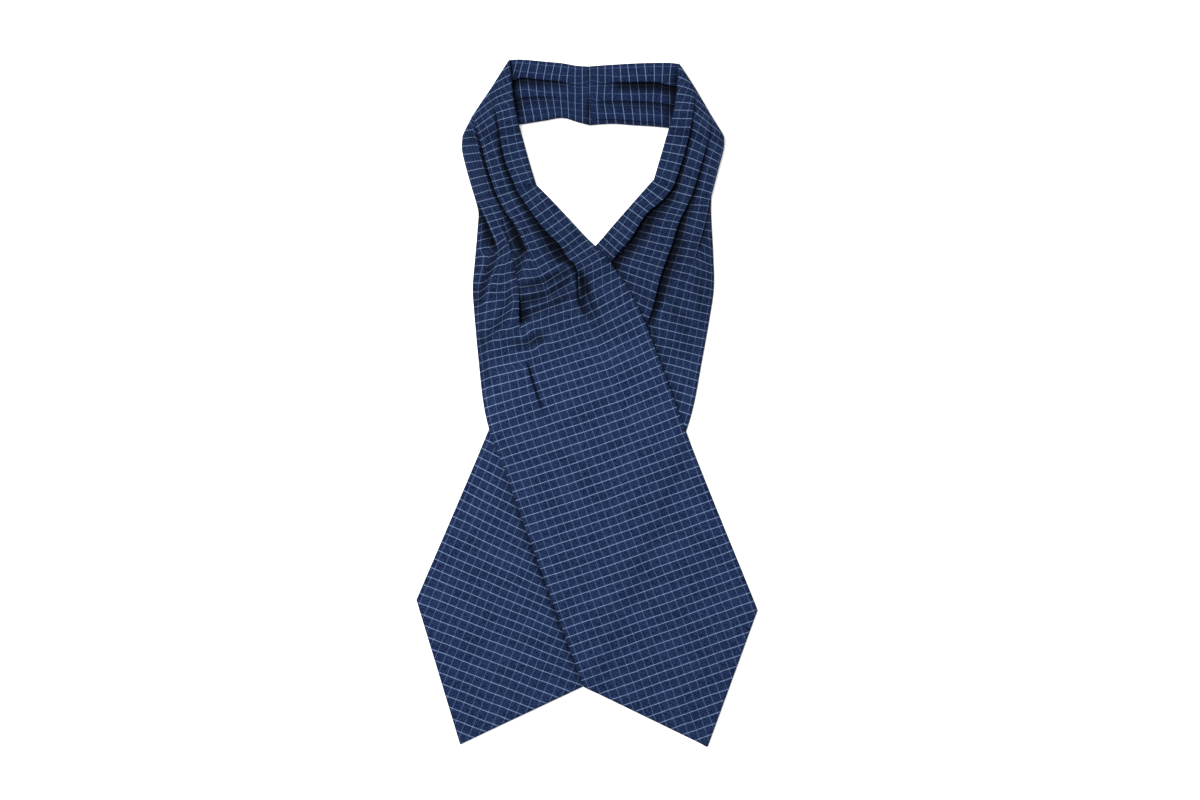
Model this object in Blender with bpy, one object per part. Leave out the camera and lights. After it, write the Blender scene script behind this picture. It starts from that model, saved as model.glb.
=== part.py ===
"""A pleated day cravat, closed and laid flat face up.

All tables are in millimetres in the part's own frame: X to the right, Y up the
neck, Z off the surface. The middle of the outline is at X 0, Y 0, and the
surface that the cravat lies on is Z 0.
"""

import math

import bmesh
import bpy
import numpy as np
from mathutils import Vector
from mathutils.bvhtree import BVHTree

MM = 0.001

# Cloth and clearances
SEAM_GAP = 0.3
LAYER_GAP = 0.35
LEAST_WALL = 1.3
EDGE_WALL = 1.1
EDGE_ROLL = 2.6
FOLD_RUN = 0.35
NECK_STACK = 4.0

# Along the middle of the cloth: the strap is negative, the blade positive, 0 is the tack line
FOLD_LINE = -77
TACK_LINE = 0
BLADE_SHOULDER = 389

# Stations that the solids are cut at
STRAP_STATIONS = (-62, -54, -46, -38, -30, -21, -12, -5, 0)
GATHER_STATIONS = (0, 5, 10, 16, 23, 30, 37, 44, 51, 58, 65, 72, 80, 88, 97, 106, 115, 126)
OVER_STATIONS = tuple(np.linspace(138, BLADE_SHOULDER, 21))
UNDER_STATIONS = (138, 151, 168, 190, 225, 280, 335, BLADE_SHOULDER)
TIP_SHARES = (0.2, 0.4, 0.6, 0.78, 0.92)

# Where the points across each panel sit, as shares of its width
PANEL_SHARES = (0.0, 0.1, 0.3, 0.55, 0.8, 1.0)

# The left half, which lies on top. Each row is a section across the cloth:
# along, then x and y of outer edge, side fold, pocket fold, middle fold, inner fold, inner edge
OVER_STRAP = (
    (-77, (-99.5, 213.0), None, None, (-91.5, 229.0), (-76.5, 251.0), (-61.5, 274.5)),
    (-53, (-100.0, 202.5), None, None, (-86.0, 212.0), (-71.5, 227.0), (-57.5, 238.5)),
    (-24, (-95.0, 181.5), None, None, (-79.5, 188.0), (-65.5, 194.5), (-48.5, 201.5)),
    (0, (-89.5, 163.0), None, None, (-72.5, 167.0), (-56.0, 170.0), (-40.5, 174.5)),
)
OVER_BLADE = (
    (0, (-89.5, 163.0), (-88.0, 163.0), (-76.0, 166.0), (-72.5, 167.0), (-56.0, 170.0), (-40.5, 174.5)),
    (10, (-87.0, 153.0), (-83.5, 152.5), (-69.5, 155.0), (-65.5, 153.5), (-49.0, 159.0), (-33.0, 167.0)),
    (23, (-87.5, 141.0), (-78.0, 140.5), (-67.0, 141.5), (-58.0, 143.0), (-37.5, 143.0), (-21.5, 155.0)),
    (48, (-89.5, 116.5), (-71.0, 117.0), (-60.5, 121.0), (-45.0, 121.5), (-19.5, 123.5), (-1.0, 133.0)),
    (72, (-91.5, 89.5), (-79.0, 93.0), (-55.5, 101.0), (-34.5, 108.0), (-7.0, 106.5), (16.5, 115.0)),
    (97, (-89.5, 63.0), (-82.5, 65.5), (-54.5, 73.5), (-29.0, 83.0), (-5.0, 85.0), (31.0, 95.0)),
    (121, (-87.0, 36.0), (-80.0, 39.0), (-51.5, 46.5), (-25.0, 55.0), (2.5, 63.0), (41.0, 76.5)),
    (165, (-81.0, -10.5), None, None, None, None, (57.0, 37.5)),
    (220, (-62.5, -63.0), None, None, None, None, (75.5, -13.0)),
    (389, (-2.5, -227.0), None, None, None, None, (136.5, -165.5)),
)
OVER_TIP = (96.5, -275.0)
OVER_SHARES = {"side": 0.06, "pocket": 0.3, "middle": 0.505, "inner": 0.714}

# The right half, which lies below: the same, with no pocket fold
UNDER_STRAP = (
    (-77, (109.5, 213.0), None, (99.0, 229.5), (86.0, 251.5), (73.0, 271.5)),
    (-53, (109.5, 204.0), None, (98.0, 216.0), (85.0, 233.0), (70.5, 240.0)),
    (-24, (104.5, 184.5), None, (92.0, 192.0), (78.5, 201.0), (61.5, 206.5)),
    (0, (99.5, 165.0), None, (84.7, 168.4), (69.1, 172.0), (53.4, 178.8)),
)
UNDER_BLADE = (
    (0, (99.5, 165.0), (98.4, 164.7), (84.7, 168.4), (69.1, 172.0), (53.4, 178.8)),
    (10, (99.2, 156.0), (97.2, 156.8), (80.7, 158.8), (60.1, 161.4), (46.7, 171.3)),
    (23, (99.6, 144.2), (94.7, 144.8), (74.7, 146.8), (49.7, 152.8), (38.1, 161.6)),
    (48, (100.8, 122.0), (88.9, 123.6), (67.5, 125.2), (35.5, 132.0), (21.6, 142.8)),
    (72, (101.5, 92.8), (80.5, 96.5), (59.0, 101.6), (20.3, 113.2), (5.8, 124.8)),
    (97, (97.5, 64.4), (74.0, 69.5), (52.5, 75.6), (13.5, 92.8), (-17.7, 103.2)),
    (121, (92.4, 36.0), (67.9, 41.5), (43.1, 48.5), (3.9, 62.4), (-30.1, 77.6)),
    (165, (83.2, -10.4), None, None, None, (-54.8, 37.6)),
    (220, (63.1, -63.2), None, None, None, (-75.2, -13.0)),
    (389, (2.5, -224.0), None, None, None, (-136.5, -157.5)),
)
UNDER_TIP = (-101.5, -273.0)
UNDER_SHARES = {"side": 0.2, "middle": 0.4, "inner": 0.72}

OVER_RIBS = ("outer", "side", "pocket", "middle", "inner", "edge")
UNDER_RIBS = ("outer", "side", "middle", "inner", "edge")

# Shares used where the strap has no side or pocket fold yet, from outer edge to middle fold
STRAP_SHARES = {"side": 0.08, "pocket": 0.79}

# Each fold: which way its free edge faces, how far its valley spreads,
# then along and the drop over its edge
OVER_FOLDS = {
    "side": ("outward", 3.0, ((0, 0.0), (10, 2.0), (38, 3.6), (54, 2.0), (70, 0.0))),
    "pocket": ("inward", 4.5, ((0, 0.0), (10, 2.4), (35, 4.4), (72, 4.6), (96, 5.2), (108, 0.0))),
    "middle": ("outward", 3.4, ((-77, 0.0), (-64, 2.0), (0, 3.2), (23, 4.8), (45, 4.8), (62, 2.2),
                                (78, 0.0))),
    "inner": ("outward", 4.6, ((-77, 0.0), (-64, 2.2), (0, 3.4), (23, 5.6), (48, 8.0), (62, 7.4),
                               (72, 5.4), (97, 3.6), (116, 0.0))),
}
UNDER_FOLDS = {
    "side": ("outward", 2.6, ((0, 0.0), (10, 1.8), (38, 2.8), (52, 1.6), (66, 0.0))),
    "middle": ("outward", 3.6, ((-77, 0.0), (-64, 2.0), (0, 3.0), (23, 4.4), (70, 4.4), (100, 3.0),
                                (116, 0.0))),
    "inner": ("outward", 5.0, ((-77, 0.0), (-64, 2.2), (0, 3.6), (23, 5.6), (60, 6.2), (76, 2.4),
                               (90, 0.0))),
}
# Share of a fold's drop that its free edge stands up, and how far back the rise spreads
LIP_SHARE = 0.42
LIP_REACH = 7.0

# Height of the face over what it rests on: along, then at the outer edge, middle and inner edge
OVER_LOFT = (
    (-77, 4.2, 4.8, 5.0),
    (-24, 4.0, 4.8, 5.2),
    (0, 3.8, 5.2, 5.4),
    (23, 3.0, 7.0, 5.6),
    (48, 2.5, 8.6, 5.2),
    (72, 2.4, 8.2, 4.4),
    (97, 2.3, 6.6, 3.4),
    (121, 2.2, 4.4, 2.6),
    (165, 2.2, 2.8, 2.2),
    (220, 2.2, 2.3, 2.2),
    (389, 2.2, 2.2, 2.2),
)
UNDER_LOFT = (
    (-77, 4.2, 4.8, 5.0),
    (-24, 4.0, 4.8, 5.2),
    (0, 3.8, 5.2, 5.4),
    (23, 3.2, 6.4, 5.4),
    (48, 2.7, 6.8, 4.6),
    (72, 2.5, 6.0, 2.8),
    (97, 2.3, 4.4, 2.2),
    (121, 2.2, 3.2, 2.2),
    (165, 2.2, 2.2, 2.2),
    (389, 2.2, 2.2, 2.2),
)

# Height of the hollow below the gathers: along, then at the middle of the section
HOLLOW = ((9, 0.0), (30, 2.4), (48, 3.6), (72, 4.0), (100, 2.6), (135, 0.0))

# The neckband, seen on its inner side. Each row is a section from the centre back outwards:
# x and y of top edge, upper crease, lower crease and bottom edge
NECK_LEFT = (
    ((2.1, 269.0), (2.1, 252.5), (2.1, 239.0), (2.1, 221.8)),
    ((-8.5, 269.7), (-8.5, 252.0), (-8.5, 240.0), (-8.0, 224.5)),
    ((-18.5, 271.5), (-21.0, 254.0), (-19.5, 241.2), (-18.5, 227.6)),
    ((-34.0, 273.0), (-37.5, 255.2), (-37.0, 242.0), (-34.5, 225.4)),
    ((-47.0, 274.2), (-52.0, 256.4), (-51.5, 241.0), (-49.5, 223.0)),
    ((-54.5, 274.0), (-64.0, 255.0), (-69.5, 239.0), (-72.0, 219.5)),
    ((-60.0, 272.5), (-74.5, 250.3), (-85.0, 234.0), (-96.0, 214.5)),
)
NECK_RIGHT = (
    ((2.45, 269.2), (2.45, 253.5), (2.45, 239.0), (2.45, 222.0)),
    ((20.5, 270.5), (20.0, 253.5), (18.5, 239.0), (20.5, 223.0)),
    ((38.0, 271.5), (38.0, 253.5), (38.0, 238.6), (38.0, 221.8)),
    ((54.5, 272.0), (54.5, 253.4), (53.5, 238.0), (54.5, 220.8)),
    ((64.5, 271.8), (69.5, 252.8), (76.0, 237.0), (81.5, 218.0)),
    ((71.8, 269.4), (84.1, 250.4), (93.3, 235.0), (105.8, 214.6)),
)
# Creases of the neckband: depth at the centre back and at the far end
NECK_CREASES_LEFT = ((0.4, 1.4), (0.3, 1.0))
NECK_CREASES_RIGHT = ((1.2, 1.8), (0.8, 1.0))
NECK_CREASE_REACH = 2.2
NECK_SHARES = (0.0, 0.12, 0.4, 0.7, 0.9, 1.0)
NECK_STATIONS = 11

# The strap reaches down to the surface at its fold, past the end of the neckband
SKIRT_OUTSIDE = 0.0
SKIRT_INSIDE = 1.15
SKIRT_TOP = 1.45

# Map of what lies below a piece: spacing, and how far it is widened and softened
MAP_STEP = 2.0
MAP_WIDEN = 11.0
MAP_SOFTEN = 4.5
MAP_LOW = (-150.0, -290.0)
MAP_HIGH = (150.0, 290.0)
MAP_TOP = 60.0

# Finish
NAVY = (0.036, 0.055, 0.125, 1.0)
NAVY_INNER = (0.028, 0.044, 0.103, 1.0)
CLOTH_ROUGHNESS = 0.85


def smooth_rows(keys, rows, at):
    """Value at one place of a smooth curve through the table rows."""
    keys = np.asarray(keys, float)
    rows = np.asarray(rows, float)
    at = min(max(at, keys[0]), keys[-1])
    i = int(min(max(np.searchsorted(keys, at) - 1, 0), len(keys) - 2))
    steps = np.diff(keys)
    slopes = np.diff(rows, axis=0) / steps.reshape((-1,) + (1,) * (rows.ndim - 1))

    def tangent(k):
        if k == 0:
            return slopes[0]
        if k == len(keys) - 1:
            return slopes[-1]
        before, after = steps[k - 1], steps[k]
        return (slopes[k - 1] * after + slopes[k] * before) / (before + after)

    h = steps[i]
    t = (at - keys[i]) / h
    a = 2 * t**3 - 3 * t**2 + 1
    b = t**3 - 2 * t**2 + t
    c = -2 * t**3 + 3 * t**2
    d = t**3 - t**2
    return a * rows[i] + b * h * tangent(i) + c * rows[i + 1] + d * h * tangent(i + 1)


def straight_rows(rows, at):
    """Value at one place of a table of pairs, straight between its rows."""
    keys = [row[0] for row in rows]
    return float(np.interp(at, keys, [row[1] for row in rows]))


def filled_row(row, names, shares, strap):
    """The points of one section, with folds that the row leaves out put in by share."""
    points = dict(zip(names, row[1:]))
    outer = np.array(points["outer"])
    end = np.array(points["middle"] if strap else points["edge"])
    for name in names:
        if points[name] is None:
            points[name] = tuple(outer + (end - outer) * shares[name])
    return [points[name] for name in names]


class Half:
    """One half of the cravat: the strap, the gathers and the pointed blade."""

    def __init__(self, names, strap, blade, tip, shares, folds, loft):
        self.names = names
        self.strap_keys = [row[0] for row in strap]
        self.strap_rows = [filled_row(row, names, STRAP_SHARES, True) for row in strap]
        self.blade_keys = [row[0] for row in blade]
        self.blade_rows = [filled_row(row, names, shares, False) for row in blade]
        self.tip = np.array(tip)
        self.folds = folds
        self.loft = loft

    def ribs(self, along, tip_share=0.0):
        """Plan position of every rib at one place along the cloth."""
        if along < TACK_LINE:
            return smooth_rows(self.strap_keys, self.strap_rows, along)
        points = smooth_rows(self.blade_keys, self.blade_rows, along)
        return points + (self.tip - points) * tip_share

    def section(self, along, blade, tip_share=0.0):
        """Plan points, face heights and underside heights of one section."""
        ribs = self.ribs(along if not blade else max(along, 0.0), tip_share)
        plan, sides = [], []
        for k in range(len(ribs) - 1):
            for share in PANEL_SHARES:
                plan.append(ribs[k] + (ribs[k + 1] - ribs[k]) * share)
                sides.append(k)
        plan = np.array(plan)
        widths = np.linalg.norm(np.diff(ribs, axis=0), axis=1)
        starts = np.concatenate([[0.0], np.cumsum(widths)])
        count = len(PANEL_SHARES)
        place = np.array([
            starts[k] + widths[k] * PANEL_SHARES[i % count] for i, k in enumerate(sides)
        ])
        sides = np.array(sides)
        across = place / starts[-1]
        row = smooth_rows([r[0] for r in self.loft], [r[1:] for r in self.loft], along)
        height = np.array([smooth_rows((0.0, 0.5, 1.0), row, t) for t in across])
        for name, (faces, spread, drops) in self.folds.items():
            drop = straight_rows(drops, along) * (1.0 - tip_share)
            rib = self.names.index(name)
            toward_inner = sides >= rib
            raised = toward_inner if faces == "outward" else ~toward_inner
            away = np.abs(place - starts[rib])
            lip = drop * LIP_SHARE * np.exp(-away / LIP_REACH)
            valley = -drop * (1 - LIP_SHARE) * np.exp(-away / spread)
            height += np.where(raised, lip, valley)
        # The two sides of a fold stand a short step apart
        for k in range(1, len(ribs) - 1):
            step = ribs[k + 1] - ribs[k - 1]
            step = step / max(np.linalg.norm(step), 1e-6) * FOLD_RUN
            plan[k * count - 1] -= step
            plan[k * count] += step
        hollow = straight_rows(HOLLOW, along) * 4 * across * (1 - across)
        edge = np.minimum(place, starts[-1] - place)
        return plan, height, hollow, edge


class Ground:
    """Heights of what lies below a piece, widened and softened."""

    def __init__(self, objects):
        self.nx = int((MAP_HIGH[0] - MAP_LOW[0]) / MAP_STEP) + 1
        self.ny = int((MAP_HIGH[1] - MAP_LOW[1]) / MAP_STEP) + 1
        heights = np.zeros((self.ny, self.nx))
        for obj in objects:
            heights = np.maximum(heights, self.cast(obj))
        self.heights = self.softened(heights)

    def cast(self, obj):
        """Top of one solid over a grid of places."""
        mesh = bmesh.new()
        mesh.from_mesh(obj.data)
        tree = BVHTree.FromBMesh(mesh)
        mesh.free()
        found = np.zeros((self.ny, self.nx))
        down = Vector((0, 0, -1))
        for j in range(self.ny):
            for i in range(self.nx):
                x = MAP_LOW[0] + i * MAP_STEP
                y = MAP_LOW[1] + j * MAP_STEP
                hit = tree.ray_cast(Vector((x, y, MAP_TOP)) * MM, down)[0]
                if hit:
                    found[j, i] = hit.z / MM
        return found

    @staticmethod
    def shifted(heights, dx, dy):
        """The map moved by whole steps, with its border repeated."""
        padded = np.pad(heights, ((abs(dy),) * 2, (abs(dx),) * 2), mode="edge")
        ny, nx = heights.shape
        return padded[abs(dy) + dy:abs(dy) + dy + ny, abs(dx) + dx:abs(dx) + dx + nx]

    def softened(self, heights):
        """Widened, and then averaged over a smaller disc."""
        wide = np.max([self.shifted(heights, dx, dy) for dx, dy in self.disc(MAP_WIDEN)], axis=0)
        return np.mean([self.shifted(wide, dx, dy) for dx, dy in self.disc(MAP_SOFTEN)], axis=0)

    @staticmethod
    def disc(radius):
        """Steps of the map inside a circle."""
        reach = int(math.ceil(radius / MAP_STEP))
        steps = range(-reach, reach + 1)
        return [(dx, dy) for dx in steps for dy in steps if math.hypot(dx, dy) * MAP_STEP <= radius]

    def at(self, x, y):
        """Height between the places of the grid."""
        u = min(max((x - MAP_LOW[0]) / MAP_STEP, 0.0), self.nx - 1.001)
        v = min(max((y - MAP_LOW[1]) / MAP_STEP, 0.0), self.ny - 1.001)
        i, j = int(u), int(v)
        u, v = u - i, v - j
        h = self.heights
        low = h[j, i] * (1 - u) + h[j, i + 1] * u
        high = h[j + 1, i] * (1 - u) + h[j + 1, i + 1] * u
        return low * (1 - v) + high * v


def resting(ground, plan):
    """Underside heights of a piece that lies on the ground map."""
    if ground is None:
        return np.zeros(len(plan))
    under = np.array([ground.at(x, y) for x, y in plan])
    return under + LAYER_GAP * np.minimum(under / 0.6, 1.0)


def rolled(edge):
    """Share of the height that is left near a rolled edge."""
    t = np.clip(edge / EDGE_ROLL, 0.0, 1.0)
    return np.sqrt(1 - (1 - t) ** 2)


def lay(plan, height, hollow, edge, ground):
    """Face and underside of a section, laid on the ground with at least the least wall."""
    under = resting(ground, plan)
    low = under + hollow
    full = np.maximum(under + height, low + LEAST_WALL)
    face = under + EDGE_WALL + (full - under - EDGE_WALL) * rolled(edge)
    low = np.minimum(low, face - EDGE_WALL)
    return np.column_stack([plan, face]), np.column_stack([plan, low])


def solid_from_sections(name, faces, unders, tip=None):
    """A closed wall between two grids of points, with an optional point at its far end."""
    mesh = bmesh.new()

    def grid(rows):
        return [[mesh.verts.new(Vector(p) * MM) for p in row] for row in rows]

    top, low = grid(faces), grid(unders)
    last, width = len(top) - 1, len(top[0])
    for i in range(last):
        for j in range(width - 1):
            mesh.faces.new((top[i][j], top[i][j + 1], top[i + 1][j + 1], top[i + 1][j]))
            mesh.faces.new((low[i][j], low[i + 1][j], low[i + 1][j + 1], low[i][j + 1]))
        for j in (0, width - 1):
            mesh.faces.new((top[i][j], top[i + 1][j], low[i + 1][j], low[i][j]))
    for j in range(width - 1):
        mesh.faces.new((top[0][j], low[0][j], low[0][j + 1], top[0][j + 1]))
        if tip is None:
            mesh.faces.new((top[last][j], top[last][j + 1], low[last][j + 1], low[last][j]))
    if tip is not None:
        tip_top = mesh.verts.new(Vector(tip[0]) * MM)
        tip_low = mesh.verts.new(Vector(tip[1]) * MM)
        for j in range(width - 1):
            mesh.faces.new((top[last][j], top[last][j + 1], tip_top))
            mesh.faces.new((low[last][j], tip_low, low[last][j + 1]))
        mesh.faces.new((top[last][0], tip_top, tip_low, low[last][0]))
        mesh.faces.new((top[last][-1], low[last][-1], tip_low, tip_top))
    bmesh.ops.triangulate(mesh, faces=mesh.faces[:])
    bmesh.ops.recalc_face_normals(mesh, faces=mesh.faces[:])
    if mesh.calc_volume(signed=True) < 0:
        bmesh.ops.reverse_faces(mesh, faces=mesh.faces[:])
    data = bpy.data.meshes.new(name)
    mesh.to_mesh(data)
    mesh.free()
    obj = bpy.data.objects.new(name, data)
    bpy.context.scene.collection.objects.link(obj)
    data.polygons.foreach_set("use_smooth", [True] * len(data.polygons))
    data.set_sharp_from_angle(angle=math.radians(50))
    return obj


def finish(obj, colour):
    """Woven cotton, one material for the piece."""
    material = bpy.data.materials.new(obj.name)
    material.use_nodes = True
    shader = material.node_tree.nodes["Principled BSDF"]
    shader.inputs["Base Color"].default_value = colour
    shader.inputs["Roughness"].default_value = CLOTH_ROUGHNESS
    shader.inputs["Metallic"].default_value = 0.0
    obj.data.materials.append(material)
    return obj


def strap(name, half, ground):
    """The pleated strap from the corner fold to the tack line, over the end of the neckband."""
    faces, unders = [], []
    plan, height, hollow, edge = half.section(FOLD_LINE, False)
    onward = half.section(STRAP_STATIONS[0], False)[0] - plan
    fold_way = plan[-1] - plan[0]
    inward = np.array([fold_way[1], -fold_way[0]]) / np.linalg.norm(fold_way)
    reach = onward @ inward
    if reach.mean() < 0:
        reach = -reach
    for inside in (SKIRT_OUTSIDE, SKIRT_INSIDE, SKIRT_TOP):
        moved = plan + onward * (inside / reach)[:, None]
        face, low = lay(moved, height, hollow, np.minimum(edge, inside), ground)
        if inside < SKIRT_TOP:
            low[:, 2] = 0.0
        faces.append(face)
        unders.append(low)
    for station in STRAP_STATIONS:
        along = min(station, TACK_LINE - SEAM_GAP / 2)
        face, low = lay(*half.section(along, False), ground)
        faces.append(face)
        unders.append(low)
    return finish(solid_from_sections(name, faces, unders), NAVY)


def blade(name, half, stations, ground):
    """The gathers and the pointed blade."""
    faces, unders = [], []
    for station in GATHER_STATIONS + stations:
        along = max(station, TACK_LINE + SEAM_GAP / 2)
        face, low = lay(*half.section(along, True), ground)
        faces.append(face)
        unders.append(low)
    for share in TIP_SHARES:
        face, low = lay(*half.section(BLADE_SHOULDER, True, share), ground)
        faces.append(face)
        unders.append(low)
    tip = half.tip
    ends = (tip[0], tip[1], EDGE_WALL), (tip[0], tip[1], 0.0)
    return finish(solid_from_sections(name, faces, unders, ends), NAVY)


def neckband(name, rows, creases):
    """Half of the neckband, inner side up, with its two soft pleat creases."""
    faces, unders = [], []
    keys = np.linspace(0.0, 1.0, len(rows))
    for share in np.linspace(0.0, 1.0, NECK_STATIONS):
        ribs = smooth_rows(keys, rows, share)
        plan = np.array([
            ribs[k] + (ribs[k + 1] - ribs[k]) * t
            for k in range(len(ribs) - 1)
            for t in NECK_SHARES[:-1]
        ] + [ribs[-1]])
        steps = np.linalg.norm(np.diff(plan, axis=0), axis=1)
        place = np.concatenate([[0.0], np.cumsum(steps)])
        height = np.full(len(plan), NECK_STACK)
        for k, (first, last) in enumerate(creases, 1):
            away = place - place[k * (len(NECK_SHARES) - 1)]
            depth = first + (last - first) * share
            height -= depth * np.exp(-(away / NECK_CREASE_REACH) ** 2)
        edge = np.minimum(place, place[-1] - place)
        face, low = lay(plan, height, np.zeros(len(plan)), edge, None)
        faces.append(face)
        unders.append(low)
    return finish(solid_from_sections(name, faces, unders), NAVY_INNER)


def main():
    for obj in list(bpy.data.objects):
        bpy.data.objects.remove(obj, do_unlink=True)

    neck_left = neckband("neckband_back_left", NECK_LEFT, NECK_CREASES_LEFT)
    neck_right = neckband("neckband_back_right", NECK_RIGHT, NECK_CREASES_RIGHT)

    over = Half(OVER_RIBS, OVER_STRAP, OVER_BLADE, OVER_TIP, OVER_SHARES, OVER_FOLDS, OVER_LOFT)
    under = Half(UNDER_RIBS, UNDER_STRAP, UNDER_BLADE, UNDER_TIP, UNDER_SHARES, UNDER_FOLDS,
                 UNDER_LOFT)

    strap("band_front_left", over, Ground([neck_left]))
    strap_right = strap("band_front_right", under, Ground([neck_right]))
    blade_under = blade("blade_under", under, UNDER_STATIONS, None)
    blade("blade_over", over, OVER_STATIONS, Ground([blade_under, strap_right]))


main()
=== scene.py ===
"""The dressed cravat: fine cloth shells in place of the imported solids, in woven check.

Lengths are in millimetres where no other unit is named, in the part's own frame:
X to the right, Y up the neck, Z off the surface that the cravat lies on.
"""

import math

import bmesh
import bpy
import numpy as np
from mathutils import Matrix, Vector
from mathutils.bvhtree import BVHTree

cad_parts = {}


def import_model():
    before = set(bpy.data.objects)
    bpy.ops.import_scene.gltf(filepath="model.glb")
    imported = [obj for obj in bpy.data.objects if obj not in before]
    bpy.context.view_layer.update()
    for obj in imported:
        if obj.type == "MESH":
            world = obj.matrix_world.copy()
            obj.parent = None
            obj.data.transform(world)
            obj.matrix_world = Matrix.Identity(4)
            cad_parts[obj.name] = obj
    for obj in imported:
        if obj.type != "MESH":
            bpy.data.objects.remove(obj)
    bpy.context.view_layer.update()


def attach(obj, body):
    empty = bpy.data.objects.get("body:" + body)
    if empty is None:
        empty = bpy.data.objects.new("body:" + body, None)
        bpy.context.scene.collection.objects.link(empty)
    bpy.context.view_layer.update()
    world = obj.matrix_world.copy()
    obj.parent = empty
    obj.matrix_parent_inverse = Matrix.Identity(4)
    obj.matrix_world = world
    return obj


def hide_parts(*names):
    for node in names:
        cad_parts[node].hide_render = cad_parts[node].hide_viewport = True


MM = 0.001

# Cloth and clearances
LAYER_GAP = 0.35
LEAST_WALL = 1.1
EDGE_ROLL = 2.6
EDGE_INSET = 0.55
INSET_MOST = 2.2
EDGE_SHARE = 0.5
LEAST_EDGE = 0.3
FULL_GAP_HEIGHT = 0.6

# Along the middle of the cloth: the strap is negative, the blade positive, 0 is the tack line
FOLD_LINE = -77
TACK_LINE = 0
GATHER_END = 135
BLADE_SHOULDER = 389

# Stations of the shells
STRAP_STATIONS = tuple(np.linspace(-62, TACK_LINE, 36))
BLADE_STATIONS = tuple(np.linspace(TACK_LINE, GATHER_END, 76)) + tuple(
    np.linspace(GATHER_END, BLADE_SHOULDER, 60)[1:]
)
TIP_SHARES = (0.06, 0.13, 0.2, 0.28, 0.36, 0.44, 0.52, 0.6, 0.68, 0.76, 0.84, 0.91, 0.96, 0.994)

# The left half, which lies on top. Each row is a section across the cloth:
# along, then x and y of outer edge, side fold, pocket fold, middle fold, inner fold, inner edge
OVER_TACK_ROW = (
    0, (-89.5, 163.0), (-88.0, 163.0), (-76.0, 166.0), (-72.5, 167.0), (-56.0, 170.0), (-40.5, 174.5),
)
OVER_STRAP = (
    (-77, (-99.5, 213.0), None, None, (-91.5, 229.0), (-76.5, 251.0), (-61.5, 274.5)),
    (-53, (-100.0, 202.5), None, None, (-86.0, 212.0), (-71.5, 227.0), (-57.5, 238.5)),
    (-24, (-95.0, 181.5), None, None, (-79.5, 188.0), (-65.5, 194.5), (-48.5, 201.5)),
    OVER_TACK_ROW,
)
OVER_BLADE = (
    OVER_TACK_ROW,
    (10, (-87.0, 153.0), (-83.5, 152.5), (-69.5, 155.0), (-65.5, 153.5), (-49.0, 159.0), (-33.0, 167.0)),
    (23, (-87.5, 141.0), (-78.0, 140.5), (-67.0, 141.5), (-58.0, 143.0), (-37.5, 143.0), (-21.5, 155.0)),
    (48, (-89.5, 116.5), (-71.0, 117.0), (-60.5, 121.0), (-48.0, 122.0), (-19.5, 123.5), (-1.0, 133.0)),
    (72, (-91.5, 89.5), (-79.0, 93.0), (-54.3, 89.8), (-35.0, 95.0), (-7.8, 107.0), (16.5, 115.0)),
    (85, (-90.6, 76.0), (-81.0, 79.0), (-53.9, 76.5), (-31.5, 84.4), (-7.0, 100.5), (23.9, 105.0)),
    (97, (-89.5, 63.0), (-82.5, 65.5), (-54.0, 68.6), (-29.0, 78.6), (-6.2, 86.5), (31.0, 95.0)),
    (121, (-87.0, 36.0), (-80.0, 39.0), (-51.5, 46.5), (-25.0, 55.0), (2.5, 63.0), (41.0, 76.5)),
    (165, (-81.0, -10.5), None, None, None, None, (57.0, 37.5)),
    (220, (-62.5, -63.0), None, None, None, None, (75.5, -13.0)),
    (389, (-2.5, -227.0), None, None, None, None, (136.5, -165.5)),
)
OVER_TIP = (96.5, -275.0)
OVER_SHARES = {"side": 0.06, "pocket": 0.3, "middle": 0.505, "inner": 0.714}

# The right half, which lies below: the same, with no pocket fold
UNDER_TACK_ROW = (0, (99.5, 165.0), (98.4, 164.7), (84.7, 168.4), (69.1, 172.0), (53.4, 178.8))
UNDER_STRAP = (
    (-77, (109.5, 213.0), None, (99.0, 229.5), (86.0, 251.5), (73.0, 271.5)),
    (-53, (109.5, 204.0), None, (98.0, 216.0), (85.0, 233.0), (70.5, 240.0)),
    (-24, (104.5, 184.5), None, (92.0, 192.0), (78.5, 201.0), (61.5, 206.5)),
    UNDER_TACK_ROW,
)
UNDER_BLADE = (
    UNDER_TACK_ROW,
    (10, (99.2, 156.0), (97.2, 156.8), (80.7, 158.8), (60.1, 161.4), (46.7, 171.3)),
    (23, (99.6, 144.2), (94.7, 144.8), (74.7, 146.8), (49.7, 152.8), (38.1, 161.6)),
    (48, (100.8, 122.0), (88.9, 123.6), (67.5, 125.2), (35.5, 132.0), (21.6, 142.8)),
    (72, (101.5, 92.8), (80.5, 96.5), (59.0, 101.6), (20.3, 113.2), (5.8, 124.8)),
    (97, (97.5, 64.4), (74.0, 69.5), (52.5, 75.6), (13.5, 92.8), (-17.7, 103.2)),
    (121, (92.4, 36.0), (67.9, 41.5), (43.1, 48.5), (3.9, 62.4), (-30.1, 77.6)),
    (165, (83.2, -10.4), None, None, None, (-54.8, 37.6)),
    (220, (63.1, -63.2), None, None, None, (-75.2, -13.0)),
    (389, (2.5, -224.0), None, None, None, (-136.5, -157.5)),
)
UNDER_TIP = (-101.5, -273.0)
UNDER_SHARES = {"side": 0.2, "middle": 0.4, "inner": 0.72}

OVER_RIBS = ("outer", "side", "pocket", "middle", "inner", "edge")
UNDER_RIBS = ("outer", "side", "middle", "inner", "edge")
STRAP_SHARES = {"side": 0.08, "pocket": 0.79}

# Points across each panel, from the outer edge to the inner one, and the power that draws
# them to a free edge
OVER_COUNTS = (8, 15, 14, 15, 20)
UNDER_COUNTS = (15, 15, 18, 18)
CLOSER = 1.6

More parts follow.
